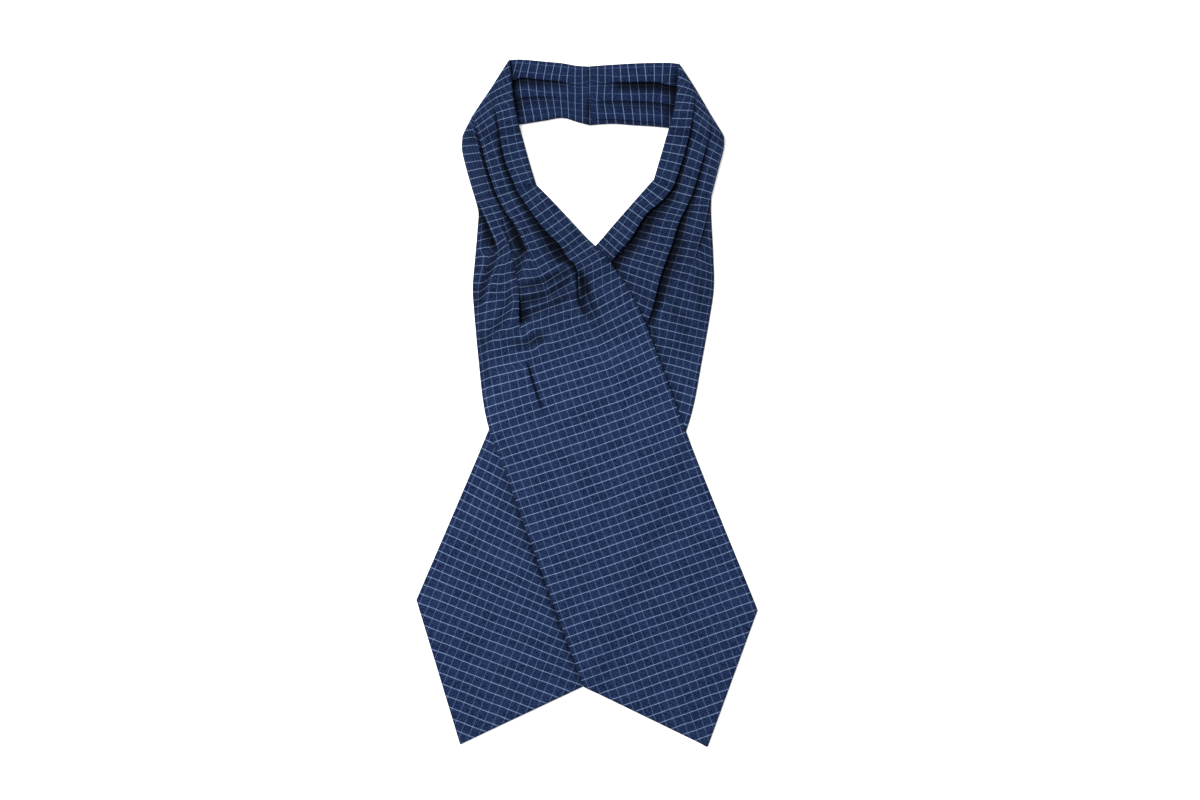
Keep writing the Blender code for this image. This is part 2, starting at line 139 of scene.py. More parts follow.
# Cross threads: along, then the cloth's own length at each rib, or at its two edges alone
OVER_STRAP_THREADS = (
    (-77, -58.6, -115.6), (-53, -46.6, -75.6), (-24, -24.6, -35.1), (0, -3.6, 0.0),
)
OVER_THREADS = (
    (0, -3.2, -3.0, -3.2, -3.0, -0.5, 4.8),
    (10, 9.4, 10.2, 11.5, 14.4, 14.6, 17.8),
    (23, 22.6, 26.2, 29.0, 33.6, 35.5, 34.8),
    (48, 49.8, 53.6, 57.8, 55.5, 65.0, 68.2),
    (72, 78.8, 78.6, 89.3, 86.6, 91.0, 96.3),
    (85, 94.0, 93.4, 106.8, 101.7, 99.5, 109.0),
    (97, 108.6, 108.0, 115.4, 112.1, 112.2, 122.6),
    (121, 139.0, 139.0, 138.1, 137.7, 138.5, 144.2),
    (165, 186.3, 186.2, 185.4, 184.4, 183.6, 187.0),
    (220, 243.1, 242.8, 241.3, 240.5, 240.4, 241.0),
    (389, 416.0, 404.0),
)
UNDER_STRAP_THREADS = (
    (-77, -57.1, -106.6), (-53, -47.6, -72.6), (-24, -25.6, -35.1), (0, -3.6, -3.6),
)
UNDER_THREADS = (
    (0, -2.9, -2.9, -2.9, -3.6, -3.0),
    (10, 7.9, 7.9, 6.5, 9.0, 7.8),
    (23, 21.6, 20.9, 24.8, 23.0, 20.6),
    (48, 44.0, 48.2, 50.0, 50.0, 47.6),
    (72, 76.3, 78.8, 79.2, 79.0, 76.6),
    (97, 107.6, 108.2, 107.0, 107.0, 107.0),
    (121, 138.2, 139.0, 137.5, 137.0, 137.0),
    (165, 187.9, 187.9),
    (220, 226.3, 242.2),
    (389, 406.5, 394.8),
)
# Cloth that the over blade's folds hide: along, then its length
OVER_HIDDEN = {
    "pocket": ((0, 0.0), (23, 0.0), (48, 6.5), (72, 0.5), (85, 2.7), (97, 2.4), (121, 0.0)),
    "middle": ((0, 0.0), (23, 5.0), (48, 1.0), (72, 0.0)),
}
UNDER_HIDDEN = {"inner": ((0, 0.0), (20, 2.4), (80, 2.4), (97, 0.0))}
# Troughs that push the threads aside: how far, how wide, then x and y along each
OVER_KINKS = (
    (2.2, 3.6, ((-69.5, 128.0), (-71.7, 120.8), (-76.9, 104.0), (-82.5, 88.0), (-86.0, 76.0))),
    (1.8, 3.6, ((-47.5, 130.0), (-49.7, 123.2), (-52.9, 112.8), (-56.7, 98.0))),
    (1.6, 3.4, ((-59.0, 98.0), (-61.9, 84.8), (-62.8, 74.9), (-76.1, 55.2), (-86.1, 44.4))),
    (1.2, 5.0, ((-52.0, 62.0), (-44.0, 52.0), (-36.0, 40.0))),
)
OVER_TIP_CLOTH = (77.0, 490.5)
UNDER_TIP_CLOTH = (77.0, 484.0)

# Each fold: which way its free edge faces, then along, the drop over its edge
# and how far its valley spreads
OVER_FOLDS = {
    "side": ("outward", (
        (0, 0.0, 3.0), (8, 2.4, 3.0), (20, 4.2, 6.0), (35, 4.4, 8.0), (47, 0.0, 7.0))),
    "pocket": ("inward", (
        (0, 0.0, 3.0), (16, 1.0, 3.0), (30, 1.4, 5.0), (46, 1.6, 5.0), (60, 0.6, 3.0),
        (74, 1.6, 3.0), (84, 3.4, 4.0), (92, 5.2, 7.0), (99, 5.6, 8.0), (107, 0.0, 6.0),
        (133, 0.0, 1.4), (141, 3.2, 1.7), (166, 3.0, 1.7), (186, 0.0, 1.4))),
    "middle": ("outward", (
        (-77, 0.2, 2.4), (-62, 1.8, 2.6), (-30, 3.8, 3.6), (0, 3.8, 3.6), (20, 4.8, 5.0),
        (36, 5.2, 8.0), (44, 4.4, 8.0), (54, 0.0, 6.0))),
    "inner": ("outward", (
        (-77, 0.3, 2.4), (-68, 0.9, 2.4), (-48, 3.0, 3.2), (-25, 3.9, 4.0), (0, 4.0, 3.4),
        (14, 4.8, 4.4), (26, 6.2, 9.0), (42, 7.6, 12.0), (58, 8.0, 12.5), (66, 6.4, 5.0),
        (78, 5.6, 3.4), (97, 3.4, 2.6), (118, 0.0, 2.0))),
}
UNDER_FOLDS = {
    "side": ("outward", (
        (0, 0.0, 2.4), (10, 1.6, 2.4), (38, 2.2, 4.0), (52, 1.2, 4.0), (64, 0.0, 3.0))),
    "middle": ("outward", (
        (-77, 0.2, 2.4), (-60, 1.2, 2.4), (-30, 2.6, 2.6), (0, 3.2, 3.4), (23, 4.4, 6.0),
        (50, 4.6, 8.5), (80, 4.6, 8.0), (100, 3.6, 5.0), (118, 0.0, 3.0))),
    "inner": ("outward", (
        (-77, 0.2, 2.4), (-66, 1.8, 2.4), (-30, 3.2, 3.0), (0, 4.4, 4.6), (12, 5.0, 9.0),
        (30, 5.6, 11.0), (56, 6.2, 10.0), (76, 3.4, 8.0), (92, 0.0, 6.0))),
}
# How much of a drop is the rise of the free edge, how far that rise spreads, how far the
# edge rolls over the rib and the valley tucks under it, and the form of the edge: its
# share of the roll, then its depth in edge thicknesses
LIP_SHARE = 0.42
LIP_REACH = 7.0
ROLL_SHARE, ROLL_MOST = 0.3, 1.2
TUCK_SHARE, TUCK_MOST = 0.8, 4.0
LIP_THICK = 1.1
LIP_FORM = ((1.0, 2.0), (0.2, 1.6), (0.0, 1.0), (0.25, 0.32))
LIP_FLOOR = 0.12
LIP_TURN = 0.6
LEAST_FALL = 0.02
FULL_FOLD = 0.8
FLAT_STEP = 0.6
UNDERSIDE_STEP = 0.08
UNDERSIDE_MARGIN = 0.2

# Distance of every rib across the cloth, and the drop that hides a full underlap
OVER_CLOTH_RIBS = (0.0, 9.2, 45.9, 77.3, 109.2, 153.0)
UNDER_CLOTH_RIBS = (0.0, 30.6, 61.2, 110.2, 153.0)
HIDING_DROP = 2.4
HIDING_POWER = 0.7

# Shade painted into the cloth colour in the valleys: the most, the drop that gives it, how far it
# reaches beside the valley's own spread and how sharply it ends there, the painted shade round a
# free edge from its top down, and at outer edges
VALLEY_SHADE = 0.90
SHADE_DROP = 3.2
SHADE_POWER = 1.2
SHADE_REACH = 1.1
SHADE_FALL = 4.0
LIP_SHADES = (0.0, 0.35, 0.8, 1.0)
EDGE_SHADE = 0.3

# Height of the face over what it rests on: along, then at the outer edge, middle and inner edge
OVER_LOFT = (
    (-77, 4.2, 4.8, 5.0),
    (-24, 4.0, 4.8, 5.2),
    (0, 3.8, 5.2, 5.4),
    (23, 3.0, 7.0, 4.8),
    (48, 2.5, 8.6, 3.6),
    (72, 2.4, 8.2, 3.0),
    (97, 2.3, 6.6, 2.9),
    (121, 2.2, 4.4, 2.8),
    (165, 2.2, 2.8, 2.6),
    (220, 2.2, 2.3, 2.4),
    (389, 2.2, 2.2, 2.2),
)
UNDER_LOFT = (
    (-77, 4.2, 4.8, 5.0),
    (-24, 4.0, 4.8, 5.2),
    (0, 3.8, 5.2, 5.4),
    (23, 3.2, 6.4, 5.4),
    (48, 2.7, 6.8, 4.6),
    (72, 2.5, 6.0, 2.8),
    (97, 2.3, 4.4, 2.2),
    (121, 2.2, 3.2, 2.2),
    (165, 2.2, 2.2, 2.2),
    (389, 2.2, 2.2, 2.2),
)
HOLLOW = ((9, 0.0), (30, 2.4), (48, 3.6), (72, 4.0), (100, 2.6), (135, 0.0))

# Crown of each panel between its folds: along, then height
CROWN = ((-77, 0.7), (0, 0.7), (40, 1.1), (90, 0.8), (140, 0.0))

# How sharply creases and shades along a line of points end
END_SHARPNESS = 6.4

# Swags and troughs: height (a trough is negative), width and painted shade, then x and y along each
OVER_CREASES = (
    (-2.4, 4.6, 0.60, ((-60.0, 44.0), (-45.0, 49.0), (-31.0, 53.0))),
    (1.6, 2.6, 0.0, ((-54.5, 97.6), (-33.7, 102.6), (-10.9, 109.4))),
    (-2.2, 2.6, 0.62, ((-56.5, 90.5), (-33.5, 96.0), (-19.0, 103.0), (-8.0, 107.0))),
    (1.8, 2.4, 0.0, ((-54.5, 85.0), (-33.3, 91.5), (-17.1, 100.0))),
    (-2.2, 2.8, 0.66, ((-56.0, 79.0), (-38.0, 83.0), (-24.0, 90.0), (-9.0, 101.5))),
    (1.4, 2.4, 0.0, ((-54.5, 73.0), (-33.3, 80.0), (-14.1, 92.0))),
    (-1.5, 2.6, 0.46, ((-55.0, 67.5), (-40.0, 73.0), (-24.0, 79.0), (-9.0, 88.0))),
    (-1.2, 4.0, 0.30, ((-86.0, 60.0), (-82.0, 40.0), (-78.5, 12.0))),
    (-1.8, 3.6, 0.50, ((-70.0, 126.0), (-74.7, 115.8), (-79.9, 100.0), (-85.5, 84.0), (-88.0, 72.0))),
    (1.4, 3.6, 0.0, ((-66.0, 118.0), (-71.0, 102.0), (-77.0, 84.0))),
    (-1.8, 3.6, 0.60, ((-48.5, 128.0), (-51.7, 119.2), (-54.9, 108.8), (-57.5, 98.0))),
    (-1.0, 3.0, 0.30, ((-62.0, 92.0), (-65.0, 80.8), (-66.8, 70.9), (-77.1, 53.2), (-86.1, 42.4))),
    (-2.2, 2.8, 0.80, ((-4.6, 104.0), (-1.2, 97.0), (1.2, 90.0), (0.0, 84.0))),
    (-1.2, 2.6, 0.60, ((-4.6, 84.0), (-2.4, 75.0), (1.0, 66.0))),
    (-1.0, 4.0, 0.25, ((3.0, 76.0), (9.0, 62.0), (18.0, 50.0))),
    (-0.4, 2.4, 0.80, ((-9.0, 110.0), (-6.0, 102.0), (-4.4, 93.0), (-4.0, 82.0), (-2.0, 72.0))),
    (-0.4, 2.2, 0.60, ((-5.0, 98.0), (0.0, 88.0), (3.0, 80.0), (7.0, 70.0))),
)
UNDER_CREASES = (
    (-1.0, 5.0, 0.22, ((64.0, 92.0), (78.0, 60.0), (84.0, 30.0))),
    (-0.9, 4.0, 0.25, ((26.0, 100.0), (40.0, 88.0), (56.0, 78.0))),
    (0.8, 5.0, 0.0, ((34.0, 96.0), (44.0, 76.0), (52.0, 50.0))),
    (-0.8, 3.5, 0.25, ((88.0, 108.0), (91.0, 84.0), (92.0, 60.0))),
)

# Painted shade along the cloth, deepest in the gathers: along, then the share of the colour kept
OPEN_LIGHT = ((-77, 0.74), (60, 0.69), (100, 0.78), (150, 1.0))

# Painted shadow close beside a piece that lies on top, and painted shade down the centre back
# of the neckband: strength and reach, then x and y along it
UNDER_SHADES = (
    (0.45, 4.0, ((14.0, 120.0), (20.1, 111.8), (30.0, 95.0))),
    (0.50, 4.5, ((40.0, 78.0), (51.6, 54.1), (63.9, 16.6), (76.0, -14.0))),
    (0.85, 2.2, ((-70.5, -40.0), (-62.5, -63.0), (-50.5, -98.0), (-21.0, -176.0), (-2.5, -227.0))),
    (0.60, 3.0, ((-50.5, -98.0), (-21.0, -176.0), (-2.5, -227.0), (8.0, -256.0))),
)
NECK_SHADES = (
    (0.75, 4.6, ((-63.0, 270.0), (-57.5, 243.0), (-53.4, 221.6))),
    (0.80, 4.6, ((74.5, 270.0), (70.1, 250.0), (65.3, 219.7))),
    (0.62, 2.4, ((0.6, 246.0), (0.9, 234.0), (1.2, 223.0), (1.4, 210.0))),
)

# The neckband, seen on its inner side. Each row is a section, with its distance from the
# centre back: x and y of top edge, upper crease, lower crease, ledge and bottom edge
NECK_RIBS = ("outer", "upper", "lower", "ledge", "edge")
NECK_LEFT = (
    (0, (2.2, 269.0), (2.2, 253.5), (2.2, 240.5), (2.2, 226.5), (2.2, 221.8)),
    (11, (-8.5, 269.7), (-8.5, 254.0), (-8.5, 241.6), (-8.2, 229.0), (-8.0, 224.5)),
    (22, (-18.5, 271.5), (-21.0, 256.4), (-19.5, 243.4), (-18.7, 231.5), (-18.5, 227.6)),
    (37, (-34.0, 273.0), (-37.5, 258.0), (-37.0, 244.4), (-35.0, 230.5), (-34.5, 225.4)),
    (51, (-47.0, 274.2), (-52.0, 259.4), (-51.5, 243.6), (-50.0, 228.0), (-49.5, 223.0)),
    (66, (-55.0, 274.6), (-64.0, 255.0), (-69.5, 239.0), (-71.5, 224.0), (-72.0, 219.5)),
    (80, (-61.2, 274.2), (-75.0, 251.3), (-85.5, 234.8), (-94.5, 219.5), (-97.0, 214.8)),
)
NECK_RIGHT = (
    (0, (2.2, 269.2), (2.2, 254.5), (2.2, 240.5), (2.2, 226.0), (2.2, 221.9)),
    (18, (20.5, 270.5), (20.0, 255.6), (18.5, 240.8), (20.2, 226.2), (20.5, 223.0)),
    (35, (38.0, 271.5), (38.0, 256.0), (38.0, 240.6), (38.0, 225.0), (38.0, 221.8)),
    (52, (54.5, 272.0), (54.5, 256.0), (53.5, 240.0), (54.3, 223.8), (54.5, 220.8)),
    (71, (65.5, 272.0), (69.5, 252.8), (76.0, 237.0), (80.5, 220.5), (81.5, 218.0)),
    (90, (72.9, 271.2), (84.9, 251.6), (94.0, 236.0), (105.3, 217.8), (106.6, 215.4)),
)
NECK_FOLDS_LEFT = {
    "upper": ("inward", (
        (0, 0.0, 2.5), (12, 1.0, 3.0), (25, 2.6, 4.4), (40, 3.0, 5.6), (80, 3.2, 6.0))),
    "lower": ("inward", (
        (0, 0.0, 5.0), (25, 0.9, 5.0), (40, 1.9, 6.0), (80, 2.2, 6.0))),
    "ledge": ("inward", ((0, 0.0, 2.0), (80, 0.0, 2.0))),
}
NECK_FOLDS_RIGHT = {
    "upper": ("inward", (
        (0, 0.0, 3.0), (14, 1.2, 4.0), (26, 3.0, 6.4), (50, 3.4, 7.4), (90, 3.4, 7.4))),
    "lower": ("inward", (
        (0, 0.0, 4.0), (14, 1.8, 4.6), (40, 2.2, 5.0), (90, 2.4, 5.0))),
    "ledge": ("inward", (
        (0, 0.0, 1.5), (8, 1.6, 1.5), (52, 1.6, 1.5), (70, 0.0, 1.5), (90, 0.0, 1.5))),
}
NECK_LOFT = ((0, 3.6, 4.2, 3.6), (90, 4.0, 4.2, 4.0))
NECK_COUNTS = (14, 12, 11, 6)
NECK_THREADS_LEFT = (
    (0, 0.0, 0.0), (11, 13.2, 13.2), (22, 26.9, 26.9), (37, 45.4, 48.5), (51, 60.0, 66.0),
    (66, 71.0, 88.0), (80, 78.0, 114.0),
)
NECK_THREADS_RIGHT = ((0, 0.0, 0.0), (52, 58.5, 58.5), (71, 70.0, 89.0), (90, 79.0, 118.0))
NECK_CLOTH_RIBS = (0.0, 22.0, 42.0, 60.0, 64.0)
NECK_STATIONS = 46
SEAM_PUCKER = 0.3
PUCKER_WAVE = 3.4
PUCKER_REACH = 9.0
PUCKER_START = 1.5
SEAM_ROLL = 1.1

# The strap reaches down to the surface at its fold, past the end of the neckband
SKIRT_ROWS = (0.0, 0.12, 0.35, 0.7, 1.1, 1.45, 2.2, 3.2)
SKIRT_INSIDE = 1.15
SKIRT_EDGE = 0.45

# Map of what lies below a piece: spacing, and how far it is widened and softened
MAP_STEP = 2.0
MAP_WIDEN = 5.0
MAP_SOFTEN = 4.0
MAP_LOW = (-150.0, -290.0)
MAP_HIGH = (150.0, 290.0)
MAP_TOP = 60.0

# Groove of the tack line across the pleats
TACK_DEPTH = 0.4
TACK_REACH = 2.2

# Check: pitch, half width and soft edge of its lines, how far and how often they wander, and
# how much of them shows: the least, less of it where less shade is painted, and more on pale flecks
CROSS_PITCH = 7.2
LENGTH_PITCH = 6.95
CROSS_HALF = 0.25
LENGTH_HALF = 0.20
LINE_SOFT = 0.24
WANDER = 1.1
WANDER_SCALE = 38.0
LENGTH_LEAST = 0.38
CROSS_LEAST = 0.84
CROSS_LIT_LOSS = 0.34
FLECK_GAIN = 0.45

# Weave and heather: thread pitch, flecks and patches per metre, their tones and the relief
THREAD_PITCH = 0.62
FLECK_SCALE = (1500.0, 420.0)
PATCH_SCALE = 55.0
PATCH_SHARE = 0.14
TONE_RANGE = (0.475, 0.660)
FLECK_RANGE = (0.30, 0.62)
PALE_TONE = 1.38
WEAVE_TONE = (0.07, 0.98)
FLECK_RELIEF, WEAVE_RELIEF, LINE_RELIEF = 0.9, 0.35, 0.25
BUMP_STRENGTH, BUMP_DEPTH = 0.45, 0.28
ROUGHNESS, FLECK_GLOSS = 0.92, 0.12
CLOTH_SURFACE = {
    "Specular IOR Level": 0.06,
    "Sheen Weight": 0.02,
    "Sheen Roughness": 0.5,
    "Sheen Tint": (0.55, 0.68, 1.0, 1.0),
}

# Cloth colours: ground, dark flecks, cross lines, lengthwise lines and where these cross
FACE_COLOURS = (
    (0.0135, 0.0265, 0.0760), (0.0020, 0.0070, 0.0290),
    (0.200, 0.292, 0.470), (0.100, 0.150, 0.290), (0.340, 0.450, 0.630),
)
INNER_COLOURS = (
    (0.0080, 0.0165, 0.0540), (0.0025, 0.0065, 0.0260),
    (0.165, 0.230, 0.345), (0.055, 0.095, 0.220), (0.240, 0.300, 0.420),
)

# Camera straight above the middle of the picture
CAMERA_AT = (10.4, 2.4, 1800.0)
CAMERA_LENS = 67.5
SENSOR = 36.0
CLIP = (50.0, 20000.0)

# Studio, with its sizes in metres
AMBIENT = 0.35
KEY_POWER = 52.0
KEY_AT = (-0.72, 0.66, 1.7)
KEY_SIZE = 0.8
FLOOR_SIZE = 20.0
FLOOR_DROP = 0.0004
FLOOR_SURFACE = {
    "Base Color": (0.93, 0.93, 0.93, 1.0),
    "Roughness": 0.9,
    "Specular IOR Level": 0.1,
    "Emission Color": (1.0, 1.0, 1.0, 1.0),
    "Emission Strength": 0.45,
}


def smooth_rows(keys, rows, at):
    """Value at one place of a smooth curve through the table rows."""
    keys = np.asarray(keys, float)
    rows = np.asarray(rows, float)
    at = min(max(at, keys[0]), keys[-1])
    i = int(min(max(np.searchsorted(keys, at) - 1, 0), len(keys) - 2))
    steps = np.diff(keys)
    slopes = np.diff(rows, axis=0) / steps.reshape((-1,) + (1,) * (rows.ndim - 1))

    def tangent(k):
        if k == 0:
            return slopes[0]
        if k == len(keys) - 1:
            return slopes[-1]
        before, after = steps[k - 1], steps[k]
        return (slopes[k - 1] * after + slopes[k] * before) / (before + after)

    h = steps[i]
    t = (at - keys[i]) / h
    a = 2 * t**3 - 3 * t**2 + 1
    b = t**3 - 2 * t**2 + t
    c = -2 * t**3 + 3 * t**2
    d = t**3 - t**2
    return a * rows[i] + b * h * tangent(i) + c * rows[i + 1] + d * h * tangent(i + 1)


def straight_rows(rows, at):
    """Value at one place of a table of pairs, straight between its rows."""
    keys = [row[0] for row in rows]
    return float(np.interp(at, keys, [row[1] for row in rows]))


def eased_rows(rows, at):
    """Values at one place of a table, eased so that each stretch starts and ends level."""
    keys = [row[0] for row in rows]
    at = min(max(at, keys[0]), keys[-1])
    i = int(min(max(np.searchsorted(keys, at) - 1, 0), len(keys) - 2))
    t = (at - keys[i]) / (keys[i + 1] - keys[i])
    t = t * t * (3 - 2 * t)
    return [a + (b - a) * t for a, b in zip(rows[i][1:], rows[i + 1][1:])]


def filled_row(row, names, shares, strap):
    """The points of one section, with folds that the row leaves out put in by share."""
    points = dict(zip(names, row[1:]))
    outer = np.array(points["outer"])
    end = np.array(points["middle"] if strap else points["edge"])
    for name in names:
        if points[name] is None:
            points[name] = tuple(outer + (end - outer) * shares[name])
    return [points[name] for name in names]


def spread(count, dense_start, dense_end):
    """Shares across a panel, closer together at its folds and at a free edge."""
    even = np.linspace(0.0, 1.0, count)
    shares = 0.5 * even + 0.5 * (0.5 - 0.5 * np.cos(np.pi * even))
    if dense_start:
        shares = shares**CLOSER
    if dense_end:
        shares = 1 - (1 - shares) ** CLOSER
    return shares


def ripple(x, y):
    """Soft unevenness of laid cloth."""
    wide = np.sin(x / 13.0 + 0.9) * np.sin(y / 19.0 + 0.3)
    slant = np.sin((x + 1.7 * y) / 17.0 + 2.1)
    cross = np.sin((1.9 * x - y) / 9.0 + 0.7) * np.sin(y / 27.0 + 1.2)
    return 0.20 * wide + 0.12 * slant + 0.10 * cross


def polyline_distance(plan, points):
    """Distance of each place from a line of points, its share of the way along, and its side."""
    points = np.asarray(points, float)
    best = np.full(len(plan), np.inf)
    share = np.zeros(len(plan))
    side = np.zeros(len(plan))
    lengths = np.linalg.norm(np.diff(points, axis=0), axis=1)
    total = lengths.sum()
    done = 0.0
    for a, b, length in zip(points[:-1], points[1:], lengths):
        t = np.clip(((plan - a) @ (b - a)) / length**2, 0.0, 1.0)
        gap = np.linalg.norm(plan - (a + t[:, None] * (b - a)), axis=1)
        nearer = gap < best
        best = np.where(nearer, gap, best)
        share = np.where(nearer, (done + t * length) / total, share)
        turn = (b[0] - a[0]) * (plan[:, 1] - a[1]) - (b[1] - a[1]) * (plan[:, 0] - a[0])
        side = np.where(nearer, np.sign(turn), side)
        done += length
    return best, share, side


def end_fade(share):
    """1 along a line of points, less towards its ends."""
    return np.clip(END_SHARPNESS * share * (1 - share), 0.0, 1.0)


class Ground:
    """Heights of what lies below a piece, widened and softened."""

    def __init__(self, objects):
        self.nx = int((MAP_HIGH[0] - MAP_LOW[0]) / MAP_STEP) + 1
        self.ny = int((MAP_HIGH[1] - MAP_LOW[1]) / MAP_STEP) + 1
        heights = np.zeros((self.ny, self.nx))
        for obj in objects:
            heights = np.maximum(heights, self.cast(obj))
        self.heights = self.softened(heights)

    def cast(self, obj):
        """Top of one shell over a grid of places."""
        mesh = bmesh.new()
        mesh.from_mesh(obj.data)
        tree = BVHTree.FromBMesh(mesh)
        mesh.free()
        found = np.zeros((self.ny, self.nx))
        down = Vector((0, 0, -1))
        for j in range(self.ny):
            for i in range(self.nx):
                x = MAP_LOW[0] + i * MAP_STEP
                y = MAP_LOW[1] + j * MAP_STEP
                hit = tree.ray_cast(Vector((x, y, MAP_TOP)) * MM, down)[0]
                if hit:
                    found[j, i] = hit.z / MM
        return found

    @staticmethod
    def shifted(heights, dx, dy):
        """The map moved by whole steps, with its border repeated."""
        padded = np.pad(heights, ((abs(dy),) * 2, (abs(dx),) * 2), mode="edge")
        ny, nx = heights.shape
        return padded[abs(dy) + dy:abs(dy) + dy + ny, abs(dx) + dx:abs(dx) + dx + nx]

    def softened(self, heights):
        """Widened, and then averaged over a smaller disc."""
        wide = np.max([self.shifted(heights, dx, dy) for dx, dy in self.disc(MAP_WIDEN)], axis=0)
        return np.mean([self.shifted(wide, dx, dy) for dx, dy in self.disc(MAP_SOFTEN)], axis=0)

    @staticmethod
    def disc(radius):
        """Steps of the map inside a circle."""
        reach = int(math.ceil(radius / MAP_STEP))
        steps = range(-reach, reach + 1)
        pairs = [(dx, dy) for dx in steps for dy in steps]
        return [pair for pair in pairs if math.hypot(*pair) * MAP_STEP <= radius]

    def at(self, plan):
        """Heights between the places of the grid."""
        u = np.clip((plan[:, 0] - MAP_LOW[0]) / MAP_STEP, 0.0, self.nx - 1.001)
        v = np.clip((plan[:, 1] - MAP_LOW[1]) / MAP_STEP, 0.0, self.ny - 1.001)
        i, j = u.astype(int), v.astype(int)
        u, v = u - i, v - j
        h = self.heights
        low = h[j, i] * (1 - u) + h[j, i + 1] * u
        high = h[j + 1, i] * (1 - u) + h[j + 1, i + 1] * u
        return low * (1 - v) + high * v


def resting(ground, plan):
    """Underside heights of a piece that lies on the ground map."""
    if ground is None:
        return np.zeros(len(plan))
    under = ground.at(plan)
    return under + LAYER_GAP * np.minimum(under / FULL_GAP_HEIGHT, 1.0)


class Fold:
    """One fold where a section crosses it."""

    def __init__(self, ribs, k, faces, valley, drop):
        way = ribs[k + 1] - ribs[k - 1]
        self.way = way / max(np.linalg.norm(way), 1e-6)
        self.rib = ribs[k]
        self.outward = faces == "outward"
        self.valley = valley
        self.drop = drop
        self.roll = min(ROLL_SHARE * drop, ROLL_MOST)
        self.tuck = min(TUCK_SHARE * drop, TUCK_MOST)
        t = min(drop / FULL_FOLD, 1.0)
        self.formed = t * t * (3 - 2 * t)

    def shade(self):
        """How dark the painted shade in its valley gets."""
        return VALLEY_SHADE * min(self.drop / SHADE_DROP, 1.0) ** SHADE_POWER

    def before(self):
        """Where the panel on the outer side ends, measured from the rib."""
        end = self.tuck if self.outward else -self.roll
        return -FLAT_STEP + (end + FLAT_STEP) * self.formed

    def after(self):
        """Where the panel on the inner side starts, measured from the rib."""
        start = self.roll if self.outward else -self.tuck
        return FLAT_STEP + (start - FLAT_STEP) * self.formed

    def lip(self, outer_z, inner_z):
        """Points round the free edge: distance from the rib and height, outer side first.

        Where the fold has no drop they lie in a row between the two panels.
        """
        high, low = (inner_z, outer_z) if self.outward else (outer_z, inner_z)
        fall = max(high - low, LEAST_FALL)
        thick = min(0.5 * fall, LIP_THICK)
        side = 1 if self.outward else -1
        made = []
        for n, (roll, depth) in enumerate(LIP_FORM[::side], 1):
            share = n / (len(LIP_FORM) + 1)
            by = side * self.roll * roll
            z = max(high - depth * thick, low + LIP_FLOOR * fall)
            flat_by = self.before() + (self.after() - self.before()) * share
            flat_z = outer_z + (inner_z - outer_z) * share
            by = flat_by + (by - flat_by) * self.formed
            made.append((by, flat_z + (z - flat_z) * self.formed))
        return made


